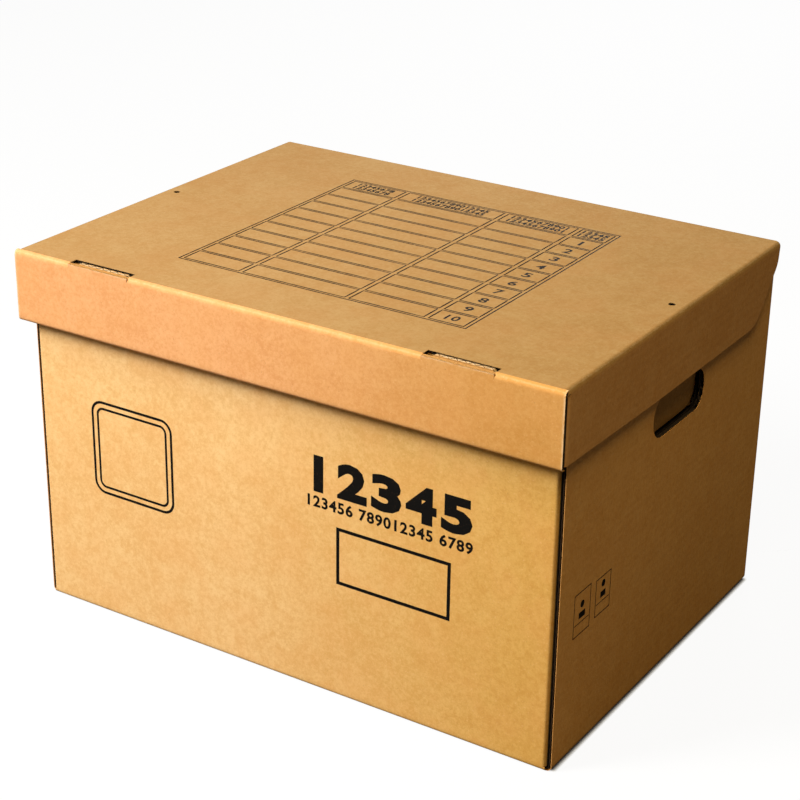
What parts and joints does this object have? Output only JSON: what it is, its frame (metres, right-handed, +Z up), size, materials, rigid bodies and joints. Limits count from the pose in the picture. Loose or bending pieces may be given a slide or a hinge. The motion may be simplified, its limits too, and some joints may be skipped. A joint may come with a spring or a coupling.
{
  "type": "archive box",
  "caption": "Folded corrugated cardboard archive box with a lid creased to its rear wall, rolled-over side walls with hand holes, and a tucked-in lid front.",
  "frame": {"origin": "on the underside of the bottom panel, at the middle of the closed box seen from above", "axes": "+X to the right along the wide front, -Y out of the front, +Z up towards the lid"},
  "size_m": [0.437, 0.328, 0.277],
  "materials": {
    "kraft_board": "matte"
  },
  "bodies": {
    "box": {"bottom_panel": "kraft_board", "front_wall": "kraft_board", "rear_wall": "kraft_board", "front_corner_tab_left": "kraft_board", "front_corner_tab_right": "kraft_board", "rear_corner_tab_left": "kraft_board", "rear_corner_tab_right": "kraft_board", "side_outer_wall_left": "kraft_board", "side_outer_wall_right": "kraft_board", "side_rim_strip_left": "kraft_board", "side_rim_strip_right": "kraft_board", "side_inner_wall_left": "kraft_board", "side_inner_wall_right": "kraft_board"},
    "lid": {"lid_top_panel": "kraft_board", "lid_front_outer": "kraft_board", "lid_front_edge_strip": "kraft_board", "lid_front_inner": "kraft_board", "lid_side_flap_left": "kraft_board", "lid_side_flap_right": "kraft_board", "lid_corner_tab_left": "kraft_board", "lid_corner_tab_right": "kraft_board"},
    "hand_hole_flap_left": {"hand_hole_flap_left": "kraft_board"},
    "hand_hole_flap_right": {"hand_hole_flap_right": "kraft_board"}
  },
  "joints": [
    {"name": "lid_hinge", "type": "hinge", "parent": "box", "child": "lid", "pos_m": [0, 0.164, 0.277], "axis": [-1, 0, 0], "range_deg": [0, 235]},
    {"name": "hand_hole_flap_left_hinge", "type": "hinge", "parent": "box", "child": "hand_hole_flap_left", "pos_m": [-0.2048, 0.0105, 0.2205], "axis": [0, -1, 0], "range_deg": [0, 170], "stiffness_Nm_per_rad": 0.02},
    {"name": "hand_hole_flap_right_hinge", "type": "hinge", "parent": "box", "child": "hand_hole_flap_right", "pos_m": [0.2048, 0.0105, 0.2205], "axis": [0, 1, 0], "range_deg": [0, 170], "stiffness_Nm_per_rad": 0.02}
  ]
}
